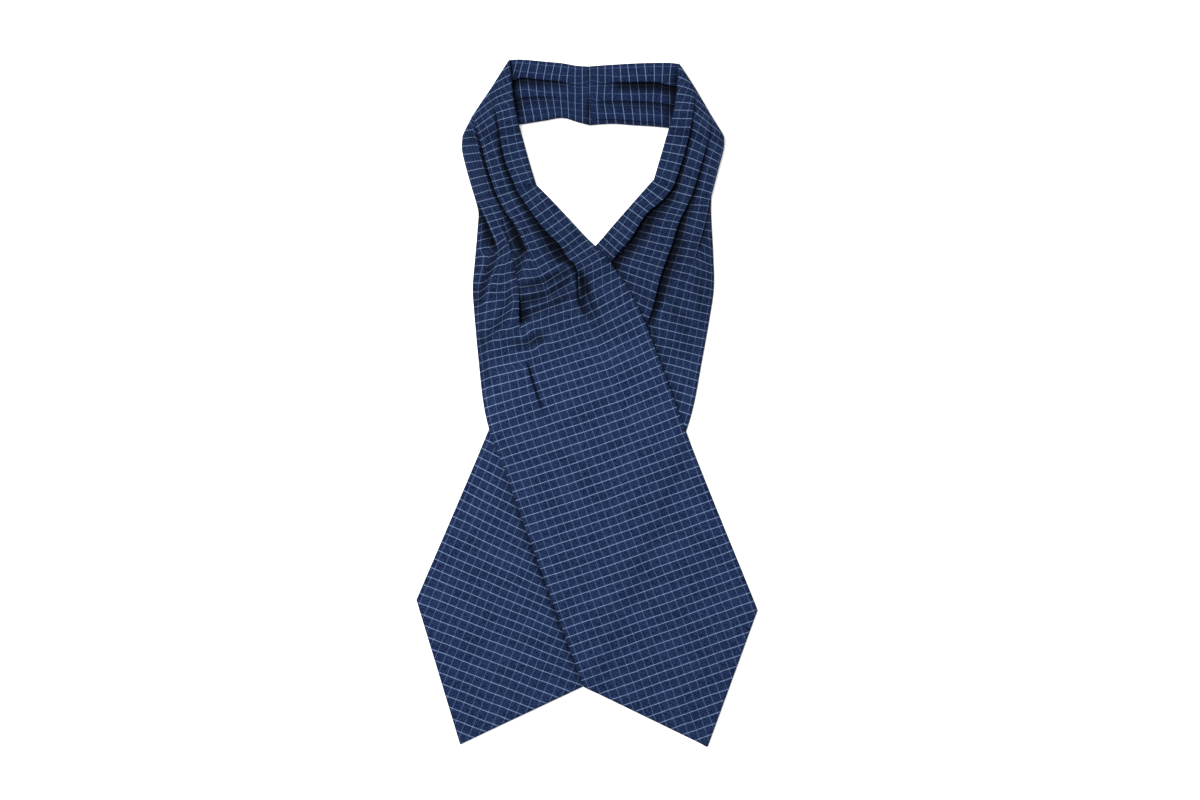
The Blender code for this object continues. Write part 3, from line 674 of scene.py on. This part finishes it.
class Cloth:
    """A stretch of folded cloth, given by sections across it."""

    def __init__(self, names, loft, counts, cloth_ribs, folds, rows, threads, creases=(), shades=(),
                 shares=None, hidden=None, kinks=(), strap=False, tip=None, tip_cloth=None,
                 hollow=True):
        self.names = names
        self.keys = [row[0] for row in rows]
        self.rows = [filled_row(row, names, shares or {}, strap) for row in rows]
        self.folds = folds
        self.loft_keys = [row[0] for row in loft]
        self.loft_rows = [row[1:] for row in loft]
        self.thread_keys = [row[0] for row in threads]
        self.thread_rows = [self.thread_row(row[1:], cloth_ribs) for row in threads]
        self.counts = counts
        self.creases = creases
        self.shades = shades
        self.hidden = {names.index(name): rows for name, rows in (hidden or {}).items()}
        self.kinks = kinks
        self.cloth_ribs = cloth_ribs
        self.tip = tip
        self.tip_cloth = tip_cloth
        self.hollow = hollow

    @staticmethod
    def thread_row(values, cloth_ribs):
        """The thread count at every rib, evened out where only the edges are given."""
        if len(values) == len(cloth_ribs):
            return values
        first, last = values
        return tuple(first + (last - first) * rib / cloth_ribs[-1] for rib in cloth_ribs)

    def ribs(self, along, tip_share):
        """Plan position of every rib at one place along the cloth."""
        points = smooth_rows(self.keys, self.rows, along)
        if tip_share:
            points = points + (np.array(self.tip) - points) * tip_share
        return points

    def made_folds(self, ribs, along, tip_share):
        """The folds of one section, by the number of their rib."""
        made = {}
        for name, (faces, rows) in self.folds.items():
            k = self.names.index(name)
            drop, valley = eased_rows(rows, along)
            made[k] = Fold(ribs, k, faces, valley, drop * (1.0 - tip_share))
        return made

    def cloth_places(self, widths, folds):
        """Where each panel starts across the cloth, and how much its width is scaled."""
        last = len(widths) - 1
        starts, scales = [], []
        for k, width in enumerate(widths):
            first, end = self.cloth_ribs[k], self.cloth_ribs[k + 1]
            tucked_first = k > 0 and not folds[k].outward
            tucked_end = k < last and folds[k + 1].outward
            hiding = max(folds[k].drop if k else 0.0, folds[k + 1].drop if k < last else 0.0)
            closed = 1.0 - min(hiding / HIDING_DROP, 1.0) ** HIDING_POWER
            scale = 1.0 + ((end - first) / max(width, 1e-6) - 1.0) * closed
            spare = (end - first) - width * scale
            starts.append(first + (spare * 0.5 if tucked_first and tucked_end else 0.0))
            scales.append(scale)
        return np.array(starts), np.array(scales)

    def threads(self, along):
        """The thread count where every panel starts and where it ends."""
        row = smooth_rows(self.thread_keys, self.thread_rows, along)
        starts, ends = row[:-1].copy(), row[1:]
        for k, rows in self.hidden.items():
            starts[k] -= eased_rows(rows, along)[0]
        return starts, ends

    @staticmethod
    def beside(k, place, panel, starts):
        """Which places lie on the inner side of a fold, and how far from it all lie."""
        inner_side = panel >= k
        return inner_side, np.maximum(np.where(inner_side, 1, -1) * (place - starts[k]), 0.0)

    def painted_shade_share(self, plan, place, panel, starts, folds, edge):
        """Painted shade at each place, as the share of colour kept: 1 in the open, less in a valley."""
        lit = 1.0 - EDGE_SHADE * (1.0 - edge) ** 2
        for k, fold in folds.items():
            inner_side, away = self.beside(k, place, panel, starts)
            lowered = ~inner_side if fold.outward else inner_side
            dark = fold.shade() * np.exp(-((away / (SHADE_REACH * fold.valley)) ** SHADE_FALL))
            lit *= np.where(lowered, 1.0 - dark, 1.0)
        # Painted shade along lines: the shades, and the shade column of the creases
        lines = list(self.shades) + [row[2:3] + row[1:2] + row[3:] for row in self.creases]
        for strength, reach, points in lines:
            if strength:
                lit *= 1.0 - strength * self.along_line(plan, reach, points)
        return lit

    @staticmethod
    def along_line(plan, reach, points):
        """1 on a line, less beside it and towards its ends."""
        gap, share, _ = polyline_distance(plan, points)
        return end_fade(share) * np.exp(-((gap / reach) ** 2))

    def pushed_threads(self, plan):
        """How far the troughs push the cross threads, one way before them and the other after."""
        pushed = np.zeros(len(plan))
        for push, reach, points in self.kinks:
            gap, share, side = polyline_distance(plan, points)
            off = gap / reach
            pushed += push * side * end_fade(share) * off * np.exp(0.5 - 0.5 * off**2)
        return pushed

    def heights(self, plan, place, panel, starts, folds, along):
        """Height of the face over what it rests on."""
        across = place / starts[-1]
        row = smooth_rows(self.loft_keys, self.loft_rows, along)
        height = np.array([smooth_rows((0.0, 0.5, 1.0), row, t) for t in across])
        for k, fold in folds.items():
            inner_side, away = self.beside(k, place, panel, starts)
            raised = inner_side if fold.outward else ~inner_side
            lip = fold.drop * LIP_SHARE * np.exp(-away / LIP_REACH)
            valley = -fold.drop * (1 - LIP_SHARE) * np.exp(-away / fold.valley)
            height += np.where(raised, lip, valley)
        for rise, reach, _, points in self.creases:
            height += rise * self.along_line(plan, reach, points)
        return height + ripple(plan[:, 0], plan[:, 1])

    def panels(self, ribs, starts, folds):
        """Plan, place across and panel number of every point of the panels."""
        last = len(starts) - 2
        plan, place, panel = [], [], []
        for k in range(last + 1):
            first_by = folds[k].after() if k else 0.0
            last_by = folds[k + 1].before() if k < last else 0.0
            a = ribs[k] + (folds[k].way * first_by if k else 0.0)
            b = ribs[k + 1] + (folds[k + 1].way * last_by if k < last else 0.0)
            t0, t1 = starts[k] + first_by, starts[k + 1] + last_by
            for s in spread(self.counts[k], k == 0, k == last):
                plan.append(a + (b - a) * s)
                place.append(t0 + (t1 - t0) * s)
                panel.append(k)
        return np.array(plan), np.array(place), np.array(panel)

    @staticmethod
    def with_lips(starts, folds, plan, place, panel, face_z, spots):
        """The section with the points of its free edges put in between the panels."""
        face, made, low_place = [], [], []
        for k in range(len(starts) - 1):
            inside = np.flatnonzero(panel == k)
            if k:
                fold, i = folds[k], inside[0]
                (u0, v0, _), (u1, v1, _) = spots[i - 1], spots[i]
                points = fold.lip(face_z[i - 1], face_z[i])
                anchor, turn = (u1, -LIP_TURN) if fold.outward else (u0, LIP_TURN)
                for n, (by, z) in enumerate(points):
                    steps = len(points) - n if fold.outward else n + 1
                    flat_u = u0 + (u1 - u0) * (n + 1) / (len(points) + 1)
                    u = flat_u + (anchor + steps * turn - flat_u) * fold.formed
                    # Painted shade round the free edge, deepest at its foot
                    lit = 1.0 - fold.shade() * LIP_SHADES[steps - 1]
                    face.append((*(fold.rib + fold.way * by), z))
                    made.append((u, v1 if fold.outward else v0, lit))
                    low_place.append(starts[k] + UNDERSIDE_STEP * (n - (len(points) - 1) / 2))
            least, most = starts[k] + UNDERSIDE_MARGIN, starts[k + 1] - UNDERSIDE_MARGIN
            for i in inside:
                face.append((*plan[i], face_z[i]))
                made.append(spots[i])
                low_place.append(min(max(place[i], least), most))
        return np.array(face), np.array(made), np.maximum.accumulate(low_place)

    def underside(self, along, ground, tip_share, ribs, starts, low_place, full, face):
        """The underside, drawn in from both edges and hollow below the gathers."""
        total = starts[-1]
        first_in = min(EDGE_INSET * full[0], INSET_MOST)
        last_in = min(EDGE_INSET * full[-1], INSET_MOST)
        place = first_in + (total - first_in - last_in) * low_place / total
        plan = np.column_stack([np.interp(place, starts, ribs[:, c]) for c in (0, 1)])
        z = resting(ground, plan)
        if self.hollow:
            across = np.clip(place / total, 0.0, 1.0)
            rise = straight_rows(HOLLOW, along) * (1 - tip_share)
            z = z + rise * 4 * across * (1 - across)
        return np.column_stack([plan, np.minimum(z, face[:, 2] - LEAST_EDGE)])

    def section(self, along, ground, tip_share=0.0, inside=math.inf):
        """Face, underside and cloth coordinates of one section."""
        ribs = self.ribs(along, tip_share)
        widths = np.linalg.norm(np.diff(ribs, axis=0), axis=1)
        starts = np.concatenate([[0.0], np.cumsum(widths)])
        folds = self.made_folds(ribs, along, tip_share)
        plan, place, panel = self.panels(ribs, starts, folds)
        share = (place - starts[panel]) / np.maximum(widths[panel], 1e-6)

        height = self.heights(plan, place, panel, starts, folds, along)
        height += straight_rows(CROWN, along) * 4 * np.clip(share * (1 - share), 0.0, 0.25)
        if self.hollow:
            height -= TACK_DEPTH * math.exp(-(((along - TACK_LINE) / TACK_REACH) ** 2))
        edge = np.minimum(np.minimum(place, starts[-1] - place), inside)
        edge = np.clip(edge / EDGE_ROLL, 0.0, 1.0)
        full = np.maximum(height, LEAST_WALL)
        rolled = EDGE_SHARE + (1 - EDGE_SHARE) * np.sqrt(1 - (1 - edge) ** 2)
        face_z = resting(ground, plan) + full * rolled

        cloth_starts, scales = self.cloth_places(widths, folds)
        u = cloth_starts[panel] + (place - starts[panel]) * scales[panel]
        first_v, last_v = self.threads(along)
        v = first_v[panel] + (last_v - first_v)[panel] * np.clip(share, 0.0, 1.0)
        v = v + self.pushed_threads(plan)
        # Painted shade, carried with the cloth coordinates into the shell's lit layer
        lit = self.painted_shade_share(plan, place, panel, starts, folds, edge)
        if self.hollow:
            lit = lit * straight_rows(OPEN_LIGHT, along)

        spots = np.column_stack([u, v, lit])
        face, spots, low_place = self.with_lips(starts, folds, plan, place, panel, face_z, spots)
        low = self.underside(along, ground, tip_share, ribs, starts, low_place, full, face)
        if tip_share:
            spots[:, :2] += (np.array(self.tip_cloth) - spots[:, :2]) * tip_share
        return face, low, spots


def shell(name, sections):
    """A closed shell through the sections, with its cloth coordinates in a layer."""
    mesh = bmesh.new()
    layer = mesh.loops.layers.uv.new("cloth")
    # Painted shade of each point, read by the cloth material; 1 on the underside
    lit = mesh.verts.layers.float.new("lit")
    where = {}

    def grid(rows, coordinates, shaded):
        made = []
        for row, spots in zip(rows, coordinates):
            line = []
            for point, spot in zip(row, spots):
                vert = mesh.verts.new(Vector(point) * MM)
                vert[lit] = spot[2] if shaded else 1.0
                where[vert] = (spot[0] * MM, spot[1] * MM)
                line.append(vert)
            made.append(line)
        return made

    faces, undersides, coordinates = zip(*sections)
    top = grid(faces, coordinates, True)
    low = grid(undersides, coordinates, False)
    last, width = len(top) - 1, len(top[0])
    for i in range(last):
        for j in range(width - 1):
            mesh.faces.new((top[i][j], top[i][j + 1], top[i + 1][j + 1], top[i + 1][j]))
            mesh.faces.new((low[i][j], low[i + 1][j], low[i + 1][j + 1], low[i][j + 1]))
        for j in (0, width - 1):
            mesh.faces.new((top[i][j], top[i + 1][j], low[i + 1][j], low[i][j]))
    for j in range(width - 1):
        mesh.faces.new((top[0][j], low[0][j], low[0][j + 1], top[0][j + 1]))
        mesh.faces.new((top[last][j], top[last][j + 1], low[last][j + 1], low[last][j]))
    bmesh.ops.recalc_face_normals(mesh, faces=mesh.faces[:])
    if mesh.calc_volume(signed=True) < 0:
        bmesh.ops.reverse_faces(mesh, faces=mesh.faces[:])
    for face in mesh.faces:
        face.smooth = True
        for loop in face.loops:
            loop[layer].uv = where[loop.vert]
    data = bpy.data.meshes.new(name)
    mesh.to_mesh(data)
    mesh.free()
    obj = bpy.data.objects.new(name, data)
    bpy.context.scene.collection.objects.link(obj)
    return obj


def blade(name, cloth, ground):
    """The gathers and the pointed blade."""
    sections = [cloth.section(along, ground) for along in BLADE_STATIONS]
    sections += [cloth.section(BLADE_SHOULDER, ground, share) for share in TIP_SHARES]
    return shell(name, sections)


def strap(name, cloth, ground):
    """The pleated strap from the corner fold to the tack line, over the end of the neckband."""
    first = cloth.section(FOLD_LINE, ground)
    next_row = cloth.section(STRAP_STATIONS[0], ground)
    start = first[0][:, :2]
    onward = next_row[0][:, :2] - start
    fold_way = start[-1] - start[0]
    inward = np.array([fold_way[1], -fold_way[0]]) / np.linalg.norm(fold_way)
    reach = onward @ inward
    reach *= np.sign(reach.mean())
    sections = []
    for inside in SKIRT_ROWS:
        mix = (inside / reach)[:, None]
        plan = start + onward * mix
        under = resting(ground, plan)
        level = first[0][:, 2] - resting(ground, start)
        roll = math.sqrt(1 - (1 - min(inside / EDGE_ROLL, 1.0)) ** 2)
        face = np.column_stack([plan, under + level * (SKIRT_EDGE + (1 - SKIRT_EDGE) * roll)])
        low_plan = first[1][:, :2] + onward * mix
        low_z = np.zeros(len(plan)) if inside <= SKIRT_INSIDE else resting(ground, low_plan)
        low = np.column_stack([low_plan, low_z])
        spots = first[2] + (next_row[2] - first[2]) * mix
        sections.append((face, low, spots))
    sections += [cloth.section(along, ground) for along in STRAP_STATIONS]
    return shell(name, sections)


def neckband(name, cloth):
    """Half of the neckband, inner side up."""
    sections = []
    for along in np.linspace(cloth.keys[0], cloth.keys[-1], NECK_STATIONS):
        inside = along + SEAM_ROLL
        face, low, spots = cloth.section(along, None, inside=inside)
        pucker = SEAM_PUCKER * np.sin(face[:, 1] / PUCKER_WAVE) * math.exp(-along / PUCKER_REACH)
        face[:, 2] += pucker * min(along / PUCKER_START, 1.0)
        sections.append((face, low, spots))
    return shell(name, sections)


class Nodes:
    """Short calls for the nodes of one material."""

    def __init__(self, material):
        self.tree = material.node_tree
        self.shader = self.tree.nodes["Principled BSDF"]

    def new(self, kind):
        return self.tree.nodes.new("ShaderNode" + kind)

    def link(self, value, socket):
        if isinstance(value, bpy.types.NodeSocket):
            self.tree.links.new(value, socket)
        else:
            socket.default_value = value

    def math(self, operation, a, b=0.0, c=0.0):
        node = self.new("Math")
        node.operation = operation
        for value, socket in zip((a, b, c), node.inputs):
            self.link(value, socket)
        return node.outputs[0]

    def mix(self, share, a, b):
        node = self.new("Mix")
        node.data_type = "RGBA"
        self.link(share, node.inputs["Factor"])
        self.link(a, node.inputs["A"])
        self.link(b, node.inputs["B"])
        return node.outputs["Result"]

    def noise(self, vector, scale, detail, roughness=0.6):
        node = self.new("TexNoise")
        node.noise_dimensions = "3D"
        self.link(vector, node.inputs["Vector"])
        node.inputs["Scale"].default_value = scale
        node.inputs["Detail"].default_value = detail
        node.inputs["Roughness"].default_value = roughness
        return node.outputs["Fac"]

    def stretched(self, vector, scale):
        node = self.new("Mapping")
        self.link(vector, node.inputs["Vector"])
        node.inputs["Scale"].default_value = scale
        return node.outputs["Vector"]

    def ramp(self, value, low, high):
        """0 below low, 1 above high, smooth between."""
        node = self.new("MapRange")
        node.interpolation_type = "SMOOTHSTEP"
        self.link(value, node.inputs["Value"])
        node.inputs["From Min"].default_value = low
        node.inputs["From Max"].default_value = high
        return node.outputs["Result"]


def colour(value):
    return (*value, 1.0)


def set_surface(shader, values):
    for name, value in values.items():
        shader.inputs[name].default_value = value


def stripe(nodes, place, pitch, half, wobble):
    """1 on a thread line of the check, 0 between the lines."""
    moved = nodes.math("ADD", place, wobble)
    phase = nodes.math("FRACT", nodes.math("DIVIDE", moved, pitch * MM))
    away = nodes.math("ABSOLUTE", nodes.math("SUBTRACT", phase, 0.5))
    edges = (half - LINE_SOFT) / pitch, (half + LINE_SOFT) / pitch
    return nodes.math("SUBTRACT", 1.0, nodes.ramp(away, *edges))


def checked_cloth(name, base, dark, cross, length, crossing):
    """Woven cotton with a fine pale check, from the cloth coordinates of the shell, darkened by the
    shade painted into its lit layer.
    """
    material = bpy.data.materials.new(name)
    material.use_nodes = True
    nodes = Nodes(material)
    uv = nodes.new("UVMap")
    uv.uv_map = "cloth"
    spot = uv.outputs["UV"]
    parts = nodes.new("SeparateXYZ")
    nodes.link(spot, parts.inputs[0])
    u, v = parts.outputs["X"], parts.outputs["Y"]

    # Heather: short flecks along and across the threads, and broad soft patches
    along_flecks = nodes.noise(nodes.stretched(spot, (*FLECK_SCALE, 1.0)), 1.0, 2.0)
    cross_flecks = nodes.noise(nodes.stretched(spot, (*FLECK_SCALE[::-1], 1.0)), 1.0, 2.0)
    patches = nodes.noise(spot, PATCH_SCALE, 2.0)
    flecks = nodes.math("MULTIPLY", nodes.math("ADD", along_flecks, cross_flecks), 0.5)
    tone = nodes.ramp(nodes.math("MULTIPLY_ADD", patches, PATCH_SHARE, flecks), *TONE_RANGE)
    ground = nodes.mix(tone, colour(dark), colour(tuple(PALE_TONE * c for c in base)))

    # Check lines, with slightly wandering threads
    wandering = nodes.noise(spot, WANDER_SCALE, 1.0)
    wander = nodes.math("MULTIPLY_ADD", wandering, WANDER * MM, -0.5 * WANDER * MM)
    lengthwise = stripe(nodes, u, LENGTH_PITCH, LENGTH_HALF, wander)
    shifted = nodes.math("ADD", v, 0.5 * CROSS_PITCH * MM)
    crosswise = stripe(nodes, shifted, CROSS_PITCH, CROSS_HALF, wander)
    uneven = nodes.ramp(flecks, *FLECK_RANGE)
    # Painted shade from the shell's lit layer: it darkens the colour in valleys, at edges and beside
    # pieces on top
    depth = nodes.new("Attribute")
    depth.attribute_name = "lit"
    lit = depth.outputs["Fac"]
    length_shows = nodes.math("MULTIPLY_ADD", uneven, FLECK_GAIN, LENGTH_LEAST)
    # Cross lines show more where the painted shade is deeper
    cross_least = nodes.math("MULTIPLY_ADD", lit, -CROSS_LIT_LOSS, CROSS_LEAST)
    cross_shows = nodes.math("MULTIPLY_ADD", uneven, FLECK_GAIN, cross_least)
    lengthwise = nodes.math("MULTIPLY", lengthwise, length_shows)
    crosswise = nodes.math("MULTIPLY", crosswise, cross_shows)
    body = nodes.mix(lengthwise, ground, colour(length))
    body = nodes.mix(crosswise, body, colour(cross))
    body = nodes.mix(nodes.math("MULTIPLY", lengthwise, crosswise), body, colour(crossing))

    # Plain weave: threads over and under, as a fine relief
    fine = 2 * math.pi / (THREAD_PITCH * MM)
    warp = nodes.math("SINE", nodes.math("MULTIPLY", u, fine))
    weft = nodes.math("SINE", nodes.math("MULTIPLY", v, fine))
    weave = nodes.math("MULTIPLY", warp, weft)
    # Weave tone times the painted shade
    shaded = nodes.math("MULTIPLY", nodes.math("MULTIPLY_ADD", weave, *WEAVE_TONE), lit)
    tint = nodes.new("VectorMath")
    tint.operation = "SCALE"
    nodes.link(body, tint.inputs[0])
    nodes.link(shaded, tint.inputs["Scale"])
    nodes.link(tint.outputs[0], nodes.shader.inputs["Base Color"])
    relief = nodes.math("MULTIPLY", weave, WEAVE_RELIEF)
    relief = nodes.math("MULTIPLY_ADD", flecks, FLECK_RELIEF, relief)
    relief = nodes.math("MULTIPLY_ADD", crosswise, LINE_RELIEF, relief)
    bump = nodes.new("Bump")
    bump.inputs["Strength"].default_value = BUMP_STRENGTH
    bump.inputs["Distance"].default_value = BUMP_DEPTH * MM
    nodes.link(relief, bump.inputs["Height"])
    nodes.link(bump.outputs[0], nodes.shader.inputs["Normal"])
    rough = nodes.math("MULTIPLY_ADD", flecks, -FLECK_GLOSS, ROUGHNESS)
    nodes.link(rough, nodes.shader.inputs["Roughness"])
    set_surface(nodes.shader, CLOTH_SURFACE)
    return material


def dress(obj, material, node):
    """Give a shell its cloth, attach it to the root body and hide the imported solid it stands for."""
    obj.data.materials.append(material)
    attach(obj, "root")
    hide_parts(node)


def studio():
    """Pale floor, soft light from the upper left, and the camera straight above."""
    scene = bpy.context.scene
    bpy.ops.mesh.primitive_plane_add(size=FLOOR_SIZE, location=(0.0, 0.0, -FLOOR_DROP))
    floor = bpy.context.object
    floor.name = "floor"
    material = bpy.data.materials.new("floor_white")
    material.use_nodes = True
    set_surface(material.node_tree.nodes["Principled BSDF"], FLOOR_SURFACE)
    floor.data.materials.append(material)

    world = bpy.data.worlds.new("studio")
    world.use_nodes = True
    background = world.node_tree.nodes["Background"]
    background.inputs["Color"].default_value = (1.0, 1.0, 1.0, 1.0)
    background.inputs["Strength"].default_value = AMBIENT
    scene.world = world

    key = bpy.data.lights.new("key", "AREA")
    key.shape = "SQUARE"
    key.size = KEY_SIZE
    key.energy = KEY_POWER
    light = bpy.data.objects.new("key", key)
    light.location = KEY_AT
    light.rotation_euler = (-light.location).to_track_quat("-Z", "Y").to_euler()
    scene.collection.objects.link(light)

    camera = bpy.data.cameras.new("camera")
    camera.lens = CAMERA_LENS
    camera.sensor_width = SENSOR
    camera.clip_start = CLIP[0] * MM
    camera.clip_end = CLIP[1] * MM
    eye = bpy.data.objects.new("camera", camera)
    eye.location = Vector(CAMERA_AT) * MM
    scene.collection.objects.link(eye)
    scene.camera = eye
    scene.view_settings.view_transform = "Standard"
    scene.view_settings.look = "None"


def main():
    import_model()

    over = (OVER_RIBS, OVER_LOFT, OVER_COUNTS, OVER_CLOTH_RIBS, OVER_FOLDS)
    over_strap = Cloth(*over, OVER_STRAP, OVER_STRAP_THREADS, shares=STRAP_SHARES, strap=True)
    over_blade = Cloth(*over, OVER_BLADE, OVER_THREADS, creases=OVER_CREASES,
                       shares=OVER_SHARES, hidden=OVER_HIDDEN, kinks=OVER_KINKS,
                       tip=OVER_TIP, tip_cloth=OVER_TIP_CLOTH)
    under = (UNDER_RIBS, UNDER_LOFT, UNDER_COUNTS, UNDER_CLOTH_RIBS, UNDER_FOLDS)
    under_strap = Cloth(*under, UNDER_STRAP, UNDER_STRAP_THREADS, shares=STRAP_SHARES, strap=True)
    under_blade = Cloth(*under, UNDER_BLADE, UNDER_THREADS, creases=UNDER_CREASES,
                        shades=UNDER_SHADES, shares=UNDER_SHARES, hidden=UNDER_HIDDEN,
                        tip=UNDER_TIP, tip_cloth=UNDER_TIP_CLOTH)
    neck = (NECK_RIBS, NECK_LOFT, NECK_COUNTS, NECK_CLOTH_RIBS)
    neck_left = Cloth(*neck, NECK_FOLDS_LEFT, NECK_LEFT, NECK_THREADS_LEFT,
                      shades=NECK_SHADES, hollow=False)
    neck_right = Cloth(*neck, NECK_FOLDS_RIGHT, NECK_RIGHT, NECK_THREADS_RIGHT,
                       shades=NECK_SHADES, hollow=False)

    back_left = neckband("neckband_inner_left", neck_left)
    back_right = neckband("neckband_inner_right", neck_right)
    front_left = strap("strap_left", over_strap, Ground([back_left]))
    front_right = strap("strap_right", under_strap, Ground([back_right]))
    lower = blade("blade_below", under_blade, None)
    upper = blade("blade_above", over_blade, Ground([lower, front_right]))

    face_cloth = checked_cloth("check_face", *FACE_COLOURS)
    inner_cloth = checked_cloth("check_inner", *INNER_COLOURS)
    dress(back_left, inner_cloth, "neckband_back_left")
    dress(back_right, inner_cloth, "neckband_back_right")
    dress(front_left, face_cloth, "band_front_left")
    dress(front_right, face_cloth, "band_front_right")
    dress(lower, face_cloth, "blade_under")
    dress(upper, face_cloth, "blade_over")
    studio()


main()
